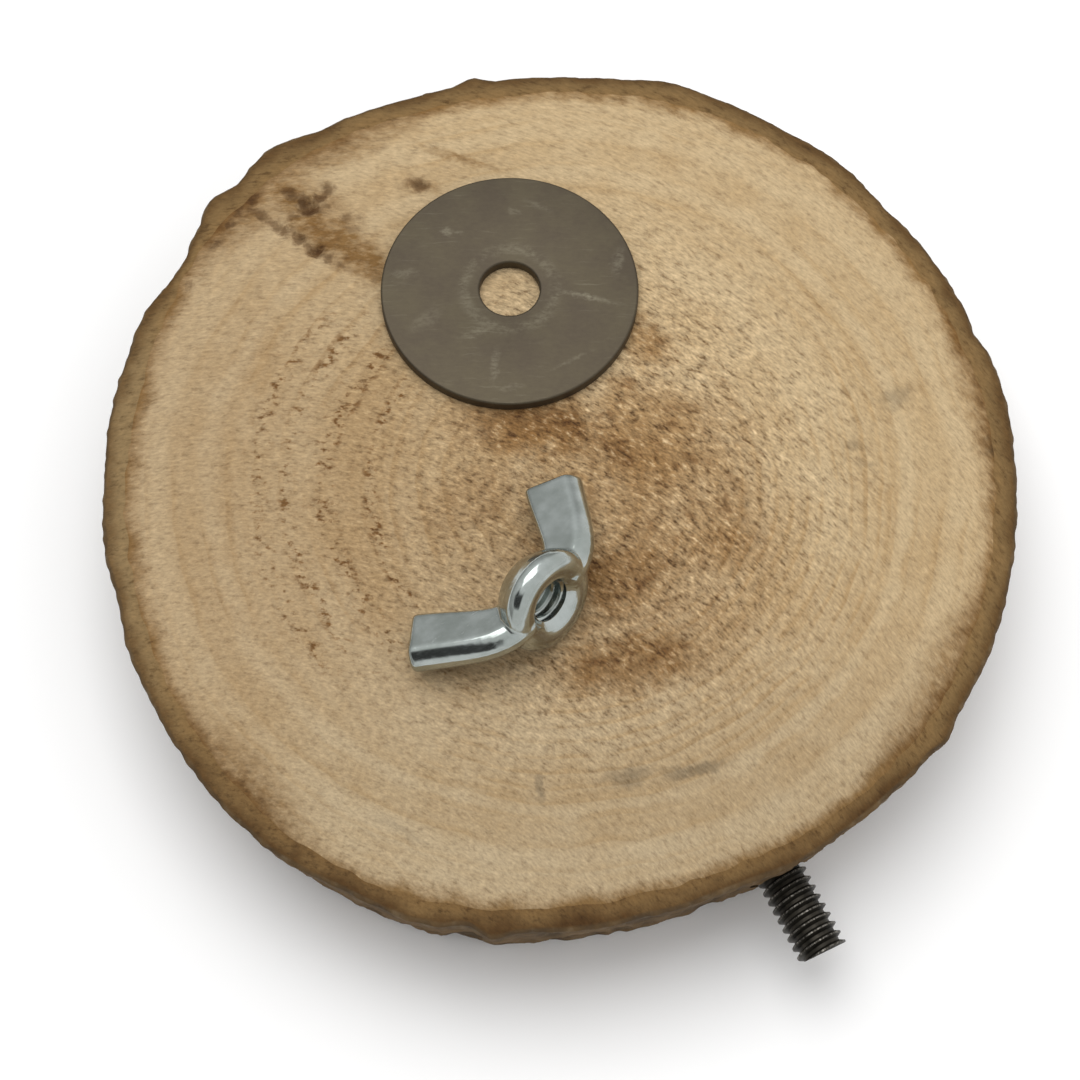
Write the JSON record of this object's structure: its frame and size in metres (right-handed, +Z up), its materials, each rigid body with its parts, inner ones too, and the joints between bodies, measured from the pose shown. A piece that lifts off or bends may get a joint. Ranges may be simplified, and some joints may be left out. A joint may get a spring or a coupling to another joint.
{
  "type": "bird perch",
  "caption": "Round slice of trunk with its bark on, a threaded stud out of its edge, and the loose washer and wing nut that clamp it to cage bars as a perch.",
  "frame": {"origin": "middle of the flat underside that the slice lies on", "axes": "+X out of the slice's edge along the stud, +Z up, out of the sawn top face"},
  "size_m": [0.1291, 0.1183, 0.0328],
  "materials": {
    "wood": "sawn end grain, dry and unfinished",
    "bark": "rough dry bark",
    "black_steel": "black oxide on rolled thread",
    "bare_steel": "dull punched plate with scuffs",
    "zinc": "bright bluish zinc on a forging"
  },
  "bodies": {
    "perch": {"wood_slice": "wood", "bark_rim": "bark", "hanger_bolt": "black_steel"},
    "washer": {"washer": "bare_steel"},
    "wing_nut": {"wing_nut": "zinc"}
  },
  "joints": [
    {"name": "washer_lift", "type": "slide", "parent": "perch", "child": "washer", "axis": [0, 0, 1], "range_m": [0, 0.06]},
    {"name": "wing_nut_lift", "type": "slide", "parent": "perch", "child": "wing_nut", "axis": [0, 0, 1], "range_m": [0, 0.06]}
  ]
}
